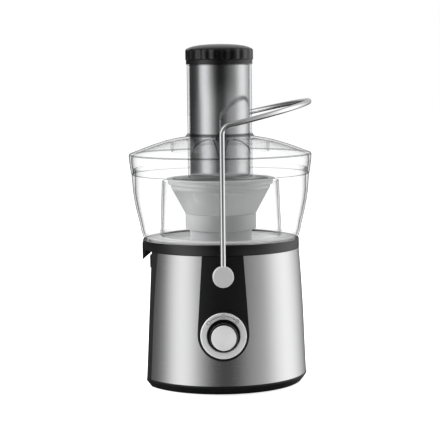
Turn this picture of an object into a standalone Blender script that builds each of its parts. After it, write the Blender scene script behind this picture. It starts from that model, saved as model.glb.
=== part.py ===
"""Centrifugal juicer with an integrated pulp container, as an assembly of separate pieces.

Frame: +Z up, the origin on the table under the middle of the machine. The control panel faces -Y and the juice
spout faces -X. Metres; the design dimensions below are in millimetres and multiplied by MM.
"""

import math

import bmesh
import bpy
from mathutils import Vector

MM = 0.001
GAP = 0.3  # between neighbouring pieces

# How round the turned pieces are.
BIG, MEDIUM, SMALL, MOTOR = 28, 20, 10, 16

# Base: a slightly barrelled cone (height, radius) with a flat on its left side.
BASE_RADII = ((160.6, 93.3), (120.5, 96.2), (84.0, 98.2), (47.4, 99.7), (11.4, 101.2))
SKIN = 1.0
HOUSING_OUT = 1.35  # depth of the housing's outer face under the skin's
HOUSING_IN = 3.85
DECK_TOP, DECK_UNDER = 160.2, 157.2
FLAT_X0, FLAT_SLOPE = -90.3, 0.0493  # the flat's x at z = 0, and how it leans
FLAT_HALF = 55.6

# Front panel outline.
PANEL_TOP_HALF, PANEL_END_R, DIAL_Z = 23.0, 29.4, 70.0
DIAL_TILT = 2.35
RING_OUT_R, RING_IN_R, RING_BACK, RING_FACE = 26.5, 19.0, 1.1, 3.4
KNOB_R, KNOB_FACE_R, KNOB_HEIGHT = 16.0, 14.4, 21.0

# Locking arm.
PIVOT_Z, ARM_Y, ROD_R = 140.0, 113.0, 3.1
DISC_R, DISC_BACK, DISC_FACE = 12.0, 110.1, 118.0
BOSS_R, BOSS_FACE, PIN_R = 10.5, 109.8, 4.0
HOOP_REACH, HOOP_Z, HOOP_RISE, BEND_R = 106.0, 309.0, 0.24, 11.0
CAM_LOW_R, CAM_RISE = 7.0, 3.0

# Bowl, lid and chute.
LID_R, LID_Z, LID_EDGE_Z = 109.0, 272.3, 250.0
CHUTE_OUT_R, CHUTE_IN_R, CHUTE_TOP, CHUTE_END = 38.5, 36.4, 378.6, 245.5
PUSHER_R, PUSHER_END = 35.4, 245.8
CAP_R, CAP_LIP_R, CAP_TOP = 40.5, 39.5, 403.0

SHAFT_R, SHAFT_HOLE_R = 4.0, 4.4
CORD_Z = 38.0


def base_radius(z):
    for (z1, r1), (z0, r0) in zip(BASE_RADII, BASE_RADII[1:]):
        if z >= z0:
            return r0 + (r1 - r0) * (z - z0) / (z1 - z0)
    return BASE_RADII[-1][1]


for old in list(bpy.data.objects):
    bpy.data.objects.remove(old, do_unlink=True)

PARTS = bpy.data.collections.new("centrifugal_juicer")
CUTTERS = bpy.data.collections.new("cutters")
bpy.context.scene.collection.children.link(PARTS)
bpy.context.scene.collection.children.link(CUTTERS)


def material(name, colour, roughness, metallic=0.0, alpha=1.0):
    mat = bpy.data.materials.new(name)
    mat.use_nodes = True
    shader = mat.node_tree.nodes["Principled BSDF"]
    shader.inputs["Base Color"].default_value = (*colour, 1.0)
    shader.inputs["Roughness"].default_value = roughness
    shader.inputs["Metallic"].default_value = metallic
    shader.inputs["Alpha"].default_value = alpha
    return mat


STEEL = material("brushed_steel", (0.62, 0.62, 0.63), 0.32, 1.0)
BLACK = material("black_plastic", (0.02, 0.02, 0.021), 0.35)
GLOSS = material("gloss_black_plastic", (0.012, 0.012, 0.013), 0.12)
CLEAR = material("clear_plastic", (0.93, 0.95, 0.95), 0.04, 0.0, 0.25)
GREY = material("grey_plastic", (0.42, 0.42, 0.43), 0.4)
PALE = material("pale_plastic", (0.8, 0.8, 0.8), 0.3)
MESH = material("sieve_steel", (0.6, 0.6, 0.6), 0.4, 1.0)
CHROME = material("chrome", (0.82, 0.82, 0.83), 0.08, 1.0)
SATIN = material("satin_metal", (0.7, 0.7, 0.7), 0.3, 1.0)
SMOKED = material("smoked_metal", (0.3, 0.3, 0.31), 0.15, 1.0)
RUBBER = material("black_rubber", (0.025, 0.025, 0.025), 0.85)
IRON = material("laminated_iron", (0.25, 0.25, 0.26), 0.5, 1.0)
COPPER = material("copper_wire", (0.6, 0.25, 0.12), 0.35, 1.0)
ZINC = material("zinc_plated", (0.55, 0.55, 0.56), 0.35, 1.0)


def finish(obj, mat, cutter=False):
    for collection in list(obj.users_collection):
        collection.objects.unlink(obj)
    (CUTTERS if cutter else PARTS).objects.link(obj)
    if cutter:
        obj.hide_render = True
        obj.display_type = "WIRE"
    if mat and not obj.data.materials:
        obj.data.materials.append(mat)
    if obj.type == "MESH":
        obj.data.shade_smooth()
        obj.data.set_sharp_from_angle(angle=math.radians(35))
    return obj


def from_bmesh(name, bm, mat, cutter=False):
    mesh = bpy.data.meshes.new(name)
    bm.to_mesh(mesh)
    bm.free()
    return finish(bpy.data.objects.new(name, mesh), mat, cutter)


def turned(name, profile, mat, steps=BIG, cutter=False):
    """A solid of revolution. The profile is (radius, height) from the top, outwards, down the outer side and back."""
    bm = bmesh.new()
    points = [bm.verts.new((r * MM, 0.0, z * MM)) for r, z in profile]
    for a, b in zip(points, points[1:]):
        bm.edges.new((a, b))
    if profile[0][0] > 0.0:
        bm.edges.new((points[-1], points[0]))
    obj = from_bmesh(name, bm, mat, cutter)
    screw = obj.modifiers.new("turn", "SCREW")
    screw.steps = screw.render_steps = steps
    screw.use_merge_vertices = True
    screw.merge_threshold = 0.00001
    screw.use_smooth_shade = True
    return obj


def disc(name, radius, low, high, mat, steps=MEDIUM, cutter=False, hole=0.0):
    if hole:
        return turned(name, [(radius, high), (radius, low), (hole, low), (hole, high)], mat, steps, cutter)
    return turned(name, [(0, high), (radius, high), (radius, low), (0, low)], mat, steps, cutter)


def block(name, low, high, mat=None, cutter=False):
    """A box between two corners, in millimetres."""
    bm = bmesh.new()
    bmesh.ops.create_cube(bm, size=1.0)
    size = Vector(high) - Vector(low)
    bmesh.ops.scale(bm, vec=size * MM, verts=bm.verts)
    obj = from_bmesh(name, bm, mat, cutter)
    obj.location = (Vector(low) + Vector(high)) * 0.5 * MM
    return obj


def plate(name, outline, low, high, mat=None, cutter=False):
    """A flat outline in local X and Y, extruded from low to high along local Z, as a mesh."""
    curve = bpy.data.curves.new(name, "CURVE")
    curve.dimensions = "2D"
    curve.fill_mode = "BOTH"
    curve.extrude = (high - low) * 0.5 * MM
    spline = curve.splines.new("POLY")
    spline.points.add(len(outline) - 1)
    for point, (x, y) in zip(spline.points, outline):
        point.co = (x * MM, y * MM, 0.0, 1.0)
    spline.use_cyclic_u = True
    obj = meshed(bpy.data.objects.new(name, curve), mat, cutter)
    for vertex in obj.data.vertices:
        vertex.co.z += (high + low) * 0.5 * MM
    return obj


def meshed(curve_obj, mat, cutter=False):
    """The curve object as a closed mesh object."""
    name = curve_obj.name
    bpy.context.scene.collection.objects.link(curve_obj)
    bpy.context.view_layer.update()
    evaluated = curve_obj.evaluated_get(bpy.context.evaluated_depsgraph_get())
    mesh = bpy.data.meshes.new_from_object(evaluated)
    matrix = curve_obj.matrix_world.copy()
    bpy.data.objects.remove(curve_obj, do_unlink=True)
    bm = bmesh.new()
    bm.from_mesh(mesh)
    bmesh.ops.remove_doubles(bm, verts=bm.verts, dist=0.00001)
    bmesh.ops.recalc_face_normals(bm, faces=bm.faces)
    bm.to_mesh(mesh)
    bm.free()
    mesh.name = name
    obj = bpy.data.objects.new(name, mesh)
    obj.matrix_world = matrix
    return finish(obj, mat, cutter)


def boolean(obj, other, operation):
    modifier = obj.modifiers.new(f"{operation.lower()}_{other.name}", "BOOLEAN")
    modifier.operation = operation
    modifier.object = other
    modifier.solver = "EXACT"
    return obj


def cut(obj, *others):
    for other in others:
        boolean(obj, other, "DIFFERENCE")
    return obj


def join(obj, *others):
    for other in others:
        boolean(obj, other, "UNION")
    return obj


def axis_empty(name, location, rotation=(0.0, 0.0, 0.0)):
    empty = bpy.data.objects.new(name, None)
    empty.empty_display_size = 0.02
    empty.location = [v * MM for v in location]
    empty.rotation_euler = rotation
    PARTS.objects.link(empty)
    return empty


def on(parent, *objects):
    for obj in objects:
        obj.parent = parent
    return objects[0]


# ---------------------------------------------------------------- joint axes
DIAL_AXIS = axis_empty("dial_axis", (0, -base_radius(DIAL_Z), DIAL_Z), (math.radians(90 - DIAL_TILT), 0, 0))
FRONT_PIVOT = axis_empty("front_pivot_axis", (0, 0, PIVOT_Z), (math.radians(90), 0, 0))
REAR_PIVOT = axis_empty("rear_pivot_axis", (0, 0, PIVOT_Z), (math.radians(-90), 0, 0))
SPIN_AXIS = axis_empty("spin_axis", (0, 0, 0))
PUSH_AXIS = axis_empty("pusher_axis", (0, 0, 0))


# ---------------------------------------------------------------- base shells
def base_cone(name, inset, low, high, cutter=True, mat=None):
    """The base's outer form, set in by inset, between two heights."""
    heights = [high] + [z for z, _ in BASE_RADII if low < z < high] + [low]
    side = [(base_radius(z) - inset, z) for z in heights]
    return turned(name, [(0, high)] + side + [(0, low)], mat, BIG, cutter)


def flat_cutter(name, inset):
    """Everything to the left of the leaning flat, moved in by inset."""
    lean = math.atan(FLAT_SLOPE)
    obj = block(name, (-60, -160, -60), (0, 160, 260), None, True)
    obj.location = (0, 0, 0)
    for vertex in obj.data.vertices:
        vertex.co.x = (vertex.co.x - 0.030)
        vertex.co.z = vertex.co.z + 0.100
    obj.rotation_euler = (0, lean, 0)
    obj.location = ((FLAT_X0 + inset / math.cos(lean)) * MM, 0, 0)
    return obj


def front_outline(grow):
    """The front panel's outline, in X and Z: a tapering tongue with a round end about the dial."""
    points = [(-PANEL_TOP_HALF - grow, 168.0), (-PANEL_END_R - grow, DIAL_Z + 2)]
    for i in range(17):
        a = math.pi + math.pi * i / 16
        points.append(((PANEL_END_R + grow) * math.cos(a), DIAL_Z + (PANEL_END_R + grow) * math.sin(a)))
    points += [(PANEL_END_R + grow, DIAL_Z + 2), (PANEL_TOP_HALF + grow, 168.0)]
    return points


def rear_outline(grow):
    half = PANEL_TOP_HALF + grow
    return [(-half, 168.0), (-half - 6.4, 22.0 - grow), (half + 6.4, 22.0 - grow), (half, 168.0)]


def prism(name, outline, front=True):
    obj = plate(name, outline, 60.0, 130.0, None, True)
    if front:
        obj.rotation_euler = (math.radians(90), 0, 0)
    else:
        obj.rotation_euler = (math.radians(90), 0, 0)
        obj.location = (0, 190 * MM, 0)
    return obj


housing = base_cone("motor_housing", HOUSING_OUT, 11.4, DECK_TOP, False, BLACK)
cut(housing, flat_cutter("housing_flat", HOUSING_OUT))
housing_hollow = base_cone("housing_hollow", HOUSING_IN, -20.0, DECK_UNDER)
cut(housing_hollow, flat_cutter("housing_hollow_flat", HOUSING_IN))
cut(housing, housing_hollow)
SCREW_POSTS = [math.radians(a) for a in (30, 150, 270)]
for i, a in enumerate(SCREW_POSTS, 1):
    post = disc(f"screw_post_{i}", 4.6, 5.0, 26.0, None, 8, True)
    post.location = (72 * MM * math.cos(a), 72 * MM * math.sin(a), 0)
    reach = 98.4
    rib = block(f"screw_rib_{i}", (74.0, -1.6, 12.0), (reach, 1.6, 26.0), None, True)
    rib.location = ((74.0 + reach) / 2 * MM * math.cos(a), (74.0 + reach) / 2 * MM * math.sin(a), 19 * MM)
    rib.rotation_euler = (0, 0, a)
    join(housing, post, rib)
    pilot = disc(f"screw_pilot_{i}", 2.1, 0.0, 18.0, None, 8, True)
    pilot.location = post.location
    cut(housing, pilot)
join(housing, block("plunger_guide", (-6, -93.4, 126), (6, -77, 129), None, True))
plunger_bore = disc("plunger_bore", 2.1, 120, 131, None, SMALL, True)
plunger_bore.location = (0, -81 * MM, 0)
shaft_well = disc("shaft_well", 12.6, 150, 170, None, MEDIUM, True)
dial_hole = on(DIAL_AXIS, disc("dial_hole", 6.0, -30, 10, None, SMALL, True))
front_pin_hole = on(FRONT_PIVOT, disc("front_pin_hole", PIN_R + 0.5, 80, 100, None, SMALL, True))
rear_pin_hole = on(REAR_PIVOT, disc("rear_pin_hole", PIN_R + 0.5, 80, 100, None, SMALL, True))
cord_hole = disc("cord_hole", 7.0, 80, 110, None, 14, True)
cord_hole.rotation_euler = (math.radians(-90), 0, 0)
cord_hole.location = (0, 0, CORD_Z * MM)
cut(housing, plunger_bore, shaft_well, dial_hole, front_pin_hole, rear_pin_hole, cord_hole)

sleeve = turned(
    "steel_sleeve",
    [(base_radius(z), z) for z, _ in BASE_RADII] + [(base_radius(z) - SKIN, z) for z, _ in reversed(BASE_RADII)],
    STEEL,
)
cut(
    sleeve,
    block("side_window", (-120, -FLAT_HALF, -10), (-50, FLAT_HALF, 180), None, True),
    prism("front_window", front_outline(GAP)),
    prism("rear_window", rear_outline(GAP), False),
)

side_panel = base_cone("side_panel", 0.0, 11.4, 160.6, False, BLACK)
cut(side_panel, flat_cutter("side_flat", 0.0))
side_hollow = base_cone("side_hollow", SKIN, -20, 190)
cut(side_hollow, flat_cutter("side_hollow_flat", SKIN))
boolean(side_panel, block("side_keep", (-120, GAP - FLAT_HALF, -10), (-50, FLAT_HALF - GAP, 180), None, True), "INTERSECT")
cut(side_panel, side_hollow)
for i in range(5):
    join(side_panel, block(f"side_rib_{i}", (-85.8, -12, 131.8 + 2.4 * i), (-83.1, 12, 133.2 + 2.4 * i), None, True))

boss = on(FRONT_PIVOT, disc("front_boss", BOSS_R, 85, BOSS_FACE, None, MEDIUM, True))
dial_pad = on(DIAL_AXIS, disc("dial_pad", PANEL_END_R - 0.5, -10, 0.8, None, BIG, True))
front_panel = base_cone("front_panel", 0.0, 11.4, 160.6, False, BLACK)
boolean(front_panel, prism("front_keep", front_outline(0.0)), "INTERSECT")
join(front_panel, boss, dial_pad)
panel_hollow = base_cone("panel_hollow", SKIN, -20, 190)
dial_bore = on(DIAL_AXIS, disc("dial_bore", 3.6, -30, 10, None, SMALL, True))
front_bore = on(FRONT_PIVOT, disc("front_bore", PIN_R + 0.4, 70, 130, None, SMALL, True))
cut(front_panel, panel_hollow, dial_bore, front_bore)

rear_boss = on(REAR_PIVOT, disc("rear_boss", BOSS_R, 85, BOSS_FACE, None, MEDIUM, True))
rear_panel = base_cone("rear_panel", 0.0, 11.4, 160.6, False, BLACK)
boolean(rear_panel, prism("rear_keep", rear_outline(0.0), False), "INTERSECT")
join(rear_panel, rear_boss)
rear_bore = on(REAR_PIVOT, disc("rear_bore", PIN_R + 0.4, 70, 130, None, 14, True))
cut(rear_panel, rear_bore, cord_hole, panel_hollow)

skirt = turned("foot_skirt", [(0, 11.1), (101.3, 11.1), (101.9, 9.4), (95.5, 0.9), (0, 0.9)], BLACK)
skirt_hollow = turned("skirt_hollow", [(0, 15), (97.4, 15), (97.0, 8.5), (92.5, 3.4), (78, 3.4), (78, -4), (0, -4)], None, BIG, True)


def skirt_chamfer(name, inset):
    """The skirt's slope under the flat, set in."""
    obj = block(name, (-60, -160, -60), (0, 160, 60), None, True)
    for vertex in obj.data.vertices:
        vertex.co.x -= 0.030
    obj.location = ((inset - 90.1) * MM, 0, 9.4 * MM)
    obj.rotation_euler = (0, -math.atan2(6.4, 8.5), 0)
    return obj


cut(skirt, flat_cutter("skirt_flat", -0.2), skirt_chamfer("skirt_slope", 0.0))
cut(skirt_hollow, flat_cutter("skirt_hollow_flat", 3.0), skirt_chamfer("skirt_hollow_slope", 3.1))
cut(skirt, skirt_hollow)

cover = disc("bottom_cover", 77.5, 2.1, 4.6, BLACK, BIG)
FEET = [math.radians(a) for a in (45, 135, 225, 315)]
for i, a in enumerate(FEET, 1):
    place = (66 * MM * math.cos(a), 66 * MM * math.sin(a), 0)
    foot = turned(
        f"rubber_foot_{i}",
        [(0, 7), (4.4, 7), (4.4, 4.9), (3, 4.9), (3, 1.8), (9, 1.8), (8.4, 0), (0, 0)],
        RUBBER,
        SMALL,
    )
    foot.location = place
    hole = disc(f"foot_hole_{i}", 3.4, 0, 8, None, SMALL, True)
    hole.location = place
    cut(cover, hole)
for i, a in enumerate(SCREW_POSTS, 1):
    place = (72 * MM * math.cos(a), 72 * MM * math.sin(a), 0)
    screw = turned(
        f"cover_screw_{i}",
        [(0, 16), (1.7, 15), (1.7, 3.9), (3.6, 3.9), (3.6, 1.9), (0, 1.9)],
        ZINC,
        SMALL,
    )
    screw.location = place
    well = turned(
        f"screw_well_{i}", [(0, 8), (2.1, 8), (2.1, 4.2), (3.9, 4.2), (3.9, 0), (0, 0)], None, SMALL, True
    )
    well.location = place
    cut(cover, well)
for i in range(6):
    slot = block(f"vent_{i}", (-14, -1.5, 0), (14, 1.5, 8), None, True)
    a = math.radians(60 * i + 30)
    slot.location = (38 * MM * math.cos(a), 38 * MM * math.sin(a), 4 * MM)
    slot.rotation_euler = (0, 0, a)
    cut(cover, slot)

grommet = turned(
    "cord_inlet_grommet",
    [(9.5, 103.4), (9.5, 101.2), (6.6, 101.2), (6.6, 92.0), (4.0, 92.0), (4.0, 103.4)],
    RUBBER,
    16,
)
grommet.rotation_euler = (math.radians(-90), 0, 0)
grommet.location = (0, 0, CORD_Z * MM)

# ---------------------------------------------------------------- collar, tray and spout
collar = turned(
    "top_collar",
    [(92.95, 173.4), (93.5, 173.2), (93.6, 161.0), (89.4, 161.0), (89.4, 170.9), (92.95, 170.9)],
    BLACK,
)
spout_slot = block("spout_slot", (-120, -16.4, 150), (-83.6, 16.4, 169.4), None, True)
cut(collar, spout_slot)

tray = turned(
    "juice_tray",
    [(86.8, 170.7), (89.0, 170.7), (89.0, 162.3), (17.0, 160.6), (17.0, 177.0), (19.2, 177.0), (19.2, 164.3), (86.8, 164.3)],
    PALE,
)
cut(tray, spout_slot)

spout = block("juice_spout", (-93.9, -16.0, 148.5), (-83.9, 16.0, 169.0), BLACK)
cut(spout, block("spout_hollow", (-92.3, -14.4, 130), (-70, 14.4, 166.8), None, True))
spout_chamfer = block("spout_chamfer", (-20, -30, -20), (20, 30, 0), None, True)
spout_chamfer.location = (-93.9 * MM, 0, 148.5 * MM)
for vertex in spout_chamfer.data.vertices:
    vertex.co.z -= 0.010
spout_chamfer.rotation_euler = (0, -math.atan2(6.2, 7.4), 0)
cut(spout, spout_chamfer)

# ---------------------------------------------------------------- bowl and lid
container = turned(
    "pulp_container",
    [
        (101.7, 256.0), (103.9, 256.0), (103.7, 249.6), (106.0, 249.6), (104.5, 229.0), (102.8, 217.0),
        (100.4, 205.0), (97.5, 193.0), (95.2, 181.0), (92.8, 174.0), (91.9, 171.3), (90.2, 171.3), (90.2, 174.6),
        (91.0, 175.5), (93.0, 181.0), (95.3, 193.0), (98.2, 205.0), (100.6, 217.0), (102.3, 229.0), (102.2, 248.0),
    ],
    CLEAR,
)
collector = turned(
    "juice_collector",
    [
        (68.0, 241.0), (70.0, 241.0), (72.5, 181.0), (72.6, 175.0), (88.0, 173.6), (89.9, 174.4), (89.9, 171.3),
        (70.7, 171.3), (70.4, 181.0),
    ],
    CLEAR,
)

lid = turned(
    "lid",
    [
        (CHUTE_IN_R, CHUTE_TOP), (CHUTE_OUT_R, CHUTE_TOP), (CHUTE_OUT_R, 297.0), (40.6, 293.8), (45.0, 293.0),
        (65.0, 289.0), (80.5, 284.2), (93.0, 279.6), (106.0, 274.7), (LID_R, LID_Z), (108.5, 265.0),
        (106.5, LID_EDGE_Z), (104.3, LID_EDGE_Z), (106.2, 264.5), (105.6, 271.6), (93.0, 276.8), (80.5, 281.4),
        (65.0, 286.4), (58.8, 287.6), (58.8, 276.0), (56.8, 276.0), (56.8, 288.0), (45.0, 290.3),
        (CHUTE_OUT_R, 290.9), (CHUTE_OUT_R, CHUTE_END), (CHUTE_IN_R, CHUTE_END),
    ],
    CLEAR,
)
for name, y in (("lid_catch_front", -50), ("lid_catch_rear", 50)):
    catch = disc(name, 6.0, 290.8, 296.4, None, SMALL, True)
    catch.location = (0, y * MM, 0)
    join(lid, catch)

# ---------------------------------------------------------------- pusher
pusher_tube = turned(
    "pusher_tube",
    [(0, 248.2), (33.8, 248.2), (33.8, 383.5), (PUSHER_R, 383.5), (PUSHER_R, PUSHER_END), (0, PUSHER_END)],
    SMOKED,
)
pusher_cap = turned(
    "pusher_cap",
    [
        (0, CAP_TOP), (22, 402.0), (34, 399.4), (39.3, 397.0), (CAP_R, 395.2), (CAP_R, 384.8), (CAP_LIP_R, 384.2),
        (CAP_LIP_R, 379.0), (36.0, 379.0), (36.0, 384.0), (0, 384.0),
    ],
    GLOSS,
)
on(PUSH_AXIS, pusher_tube, pusher_cap)

# ---------------------------------------------------------------- spinning sieve basket
basket_hub = turned(
    "basket_hub",
    [
        (0, 186.2), (39.9, 186.2), (39.9, 202.0), (42.3, 202.0), (42.3, 183.5), (37.0, 181.6), (37.0, 169.0),
        (34.8, 169.0), (34.8, 180.2), (16.3, 180.2), (16.3, 167.5), (12.9, 167.5), (12.9, 183.4), (0, 183.4),
    ],
    GREY,
)
sieve_mesh = turned("sieve_mesh", [(57.3, 231.6), (58.0, 231.6), (42.3, 202.4), (41.6, 202.4)], MESH)
basket_rim = turned(
    "basket_rim",
    [(57.2, 244.0), (64.8, 244.0), (64.8, 237.2), (59.6, 236.0), (59.0, 232.0), (57.2, 232.0)],
    GREY,
)
grater = turned(
    "grater_disc",
    [(0, 223.0), (12, 222.0), (25, 216.0), (36, 206.0), (39.2, 202.2), (39.2, 200.4), (37.4, 200.4), (34.8, 204.6), (24.2, 214.2), (12, 220.2), (0, 221.0)],
    MESH,
    MEDIUM,
)
coupling = disc("drive_coupling", 12.4, 164.5, 182.8, BLACK, MEDIUM, hole=SHAFT_HOLE_R)
for i in range(3):
    key = block(f"coupling_key_{i}", (-30, -1.5, 176), (30, 1.5, 190), None, True)
    key.location = (0, 0, 183 * MM)
    key.rotation_euler = (0, 0, math.radians(60 * i))
    cut(coupling, key)
shaft = turned(
    "motor_shaft",
    [(0, 182.0), (3.4, 182.0), (SHAFT_R, 181.2), (SHAFT_R, 18.0), (0, 18.0)],
    ZINC,
    16,
)
armature = turned(
    "armature",
    [
        (SHAFT_HOLE_R, 112.0), (12, 112.0), (22, 108.0), (23, 101.0), (26.2, 100.0), (26.2, 60.0), (23, 59.0),
        (22, 53.0), (12, 50.0), (SHAFT_HOLE_R, 50.0),
    ],
    COPPER,
    MOTOR,
)
commutator = disc("commutator", 13.6, 112.6, 125.5, COPPER, MOTOR, hole=SHAFT_HOLE_R)
fan = disc("cooling_fan", 10, 19.5, 31.5, GREY, MOTOR, hole=SHAFT_HOLE_R)
join(fan, disc("fan_plate", 37, 19.5, 21.0, None, MOTOR, True, hole=8.0))
for i in range(8):
    blade = block(f"fan_blade_{i}", (8.5, -0.7, 20.5), (36.0, 0.7, 31.0), None, True)
    a = math.radians(45 * i)
    blade.location = (22.25 * MM * math.cos(a), 22.25 * MM * math.sin(a), 25.75 * MM)
    blade.rotation_euler = (0, 0, a)
    join(fan, blade)
on(SPIN_AXIS, basket_hub, sieve_mesh, basket_rim, grater, coupling, shaft, armature, commutator, fan)

# ---------------------------------------------------------------- motor, fixed pieces
MOTOR_BOLTS = ((0.0, 45.5), (0.0, -45.5))
stator = disc("stator_core", 49.5, 60.0, 100.0, IRON, MOTOR, hole=27.4)
cut(stator, block("slot_right", (26, -11, 50), (38, 11, 110), None, True))
cut(stator, block("slot_left", (-38, -11, 50), (-26, 11, 110), None, True))
upper_bracket = turned(
    "upper_bearing_bracket",
    [(11.5, 137.0), (15.5, 137.0), (15.5, 133.4), (54, 133.4), (54, 130.4), (13, 130.4), (11.5, 131.4)],
    ZINC,
    MOTOR,
)
lower_bracket = turned(
    "lower_bearing_bracket",
    [(11.5, 47.0), (54, 47.0), (54, 44.0), (15.5, 44.0), (15.5, 33.5), (11.5, 33.5)],
    ZINC,
    MOTOR,
)
for i, (x, y) in enumerate(MOTOR_BOLTS, 1):
    bolt = disc(f"motor_bolt_{i}", 2.2, 40.0, 129.8, ZINC, 8)
    bolt.location = (x * MM, y * MM, 0)
    hole = disc(f"bolt_hole_{i}", 2.8, 30, 110, None, 8, True)
    hole.location = bolt.location
    cut(stator, hole)
    cut(lower_bracket, hole)
turned("upper_bearing", [(SHAFT_HOLE_R, 136.6), (11.1, 136.6), (11.1, 131.8), (12.3, 129.8), (SHAFT_HOLE_R, 129.8)], ZINC, MOTOR)
disc("lower_bearing", 11.1, 34.0, 43.0, ZINC, MOTOR, hole=SHAFT_HOLE_R)
for i in range(3):
    a = math.radians(120 * i + 60)
    mount = disc(f"motor_mount_{i + 1}", 6.5, 133.8, 156.8, RUBBER, SMALL)
    mount.location = (44 * MM * math.cos(a), 44 * MM * math.sin(a), 0)
for side, sign in (("left", -1), ("right", 1)):
    low, high = sorted((sign * 14.2, sign * 32.0))
    block(f"brush_holder_{side}", (low, -5, 114.0), (high, 5, 129.9), BLACK)


def coil_path(sign):
    """A field winding's loop: up through one slot, over the pole, down the other slot and back under it."""
    side_x, side_y, mid_r, top, low = 32.0, 5.6, 33.0, 106.0, 54.0
    first = math.asin(side_y / mid_r)
    sweep = [first + (math.pi - 2 * first) * i / 10 for i in range(11)]
    arch = [(mid_r * math.cos(a), sign * mid_r * math.sin(a)) for a in sweep]
    points = [(x, y, top) for x, y in arch] + [(x, y, low) for x, y in reversed(arch)]
    return points


for name, sign in (("field_coil_front", -1), ("field_coil_rear", 1)):
    wire = bpy.data.curves.new(name, "CURVE")
    wire.dimensions = "3D"
    wire.bevel_depth = 4.2 * MM
    wire.bevel_resolution = 1
    spline = wire.splines.new("POLY")
    loop = coil_path(sign)
    spline.points.add(len(loop) - 1)
    for point, co in zip(spline.points, loop):
        point.co = (*[v * MM for v in co], 1.0)
    spline.use_cyclic_u = True
    finish(bpy.data.objects.new(name, wire), COPPER)

disc("shaft_seal", 12.2, 157.6, 163.6, RUBBER, MEDIUM, hole=5.0)

# ---------------------------------------------------------------- dial, knob and switch
dial_ring = turned(
    "dial_ring",
    [(RING_IN_R, RING_FACE - 0.5), (RING_IN_R + 0.5, RING_FACE), (RING_OUT_R - 0.8, RING_FACE), (RING_OUT_R, RING_FACE - 0.8), (RING_OUT_R, RING_BACK), (RING_IN_R, RING_BACK)],
    SATIN,
)
knob_body = turned(
    "knob_body",
    [
        (0, 19.4), (KNOB_FACE_R + 0.3, 19.4), (KNOB_FACE_R + 0.3, KNOB_HEIGHT), (KNOB_R - 0.5, KNOB_HEIGHT),
        (KNOB_R, KNOB_HEIGHT - 0.6), (KNOB_R + 0.6, 1.6), (14.0, 1.6), (14.0, 16.8), (5.6, 16.8), (5.6, 3.0), (3.4, 3.0),
        (3.4, 15.0), (0, 15.0),
    ],
    BLACK,
    MEDIUM,
)
knob_face = turned("knob_face", [(0, 21.5), (KNOB_FACE_R - 0.6, 21.5), (KNOB_FACE_R, 20.9), (KNOB_FACE_R, 19.8), (0, 19.8)], SATIN, MEDIUM)
knob_shaft = disc("knob_shaft", 3.0, -20.0, 14.6, ZINC, SMALL)
rotary_switch = block("rotary_switch", (-14, -14, -26), (14, 14, -9), BLACK)
rotary_switch.location = (0, 0, -17.5 * MM)
switch_bore = disc("switch_bore", 3.5, -22, 0, None, SMALL, True)
on(DIAL_AXIS, dial_ring, knob_body, knob_face, knob_shaft, rotary_switch, switch_bore)
cut(rotary_switch, switch_bore)


# ---------------------------------------------------------------- locking arm
def arm_points():
    """The rod's centre line: up the front, over the bend, round the inclined hoop on the right, and down the rear."""
    lean = math.atan(HOOP_RISE)
    turn = math.pi / 2 - lean
    start = HOOP_Z - BEND_R * math.tan(turn / 2)

    def depth(x):
        return ARM_Y * math.sqrt(max(0.0, 1 - (x / HOOP_REACH) ** 2))

    front = [(0.0, -ARM_Y, PIVOT_Z + DISC_R + 0.5), (0.0, -ARM_Y, start)]
    for i in range(1, 7):
        a = turn * i / 6
        x = BEND_R * (1 - math.cos(a))
        front.append((x, -depth(x), start + BEND_R * math.sin(a)))
    first = math.asin(front[-1][0] / HOOP_REACH)
    hoop = []
    for i in range(1, 19):
        p = first + (math.pi - 2 * first) * i / 19
        x = HOOP_REACH * math.sin(p)
        hoop.append((x, -ARM_Y * math.cos(p), HOOP_Z + HOOP_RISE * x))
    return front + hoop + [(x, -y, z) for x, y, z in reversed(front)]


rod = bpy.data.curves.new("arm_bail", "CURVE")
rod.dimensions = "3D"
rod.bevel_depth = ROD_R * MM
rod.bevel_resolution = 2
rod.use_fill_caps = True
spline = rod.splines.new("POLY")
path = arm_points()
spline.points.add(len(path) - 1)
for point, co in zip(spline.points, path):
    point.co = (co[0] * MM, co[1] * MM, (co[2] - PIVOT_Z) * MM, 1.0)
bail = bpy.data.objects.new("arm_bail", rod)
bail.location = (0, 0, PIVOT_Z * MM)
finish(bail, CHROME)

for name, pivot in (("front", FRONT_PIVOT), ("rear", REAR_PIVOT)):
    washer = turned(
        f"pivot_disc_{name}",
        [(0, DISC_FACE), (DISC_R - 0.8, DISC_FACE), (DISC_R, DISC_FACE - 0.8), (DISC_R, DISC_BACK), (0, DISC_BACK)],
        SATIN,
        MEDIUM,
    )
    pin = disc(f"pivot_pin_{name}", PIN_R, 76.0, DISC_BACK - GAP, ZINC, SMALL)
    on(pivot, washer, pin)


def cam_outline():
    """A cam whose radius grows evenly over the arm's quarter turn, then falls back. The plunger is at local -Y."""
    points = []
    for i in range(24):
        turn = 15.0 * i - 30.0
        if turn <= 90.0:
            radius = CAM_LOW_R + CAM_RISE * max(0.0, turn) / 90.0
        elif turn <= 150.0:
            radius = CAM_LOW_R + CAM_RISE
        else:
            radius = CAM_LOW_R + CAM_RISE * max(0.0, (270.0 - turn) / 120.0)
        a = math.radians(turn - 90.0)
        points.append((radius * math.cos(a), radius * math.sin(a)))
    return points


cam = plate("interlock_cam", cam_outline(), 78.0, 84.0, BLACK)
cam_bore = on(FRONT_PIVOT, disc("cam_bore", PIN_R + 0.3, 70, 90, None, SMALL, True))
on(FRONT_PIVOT, cam)
cut(cam, cam_bore)

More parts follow.
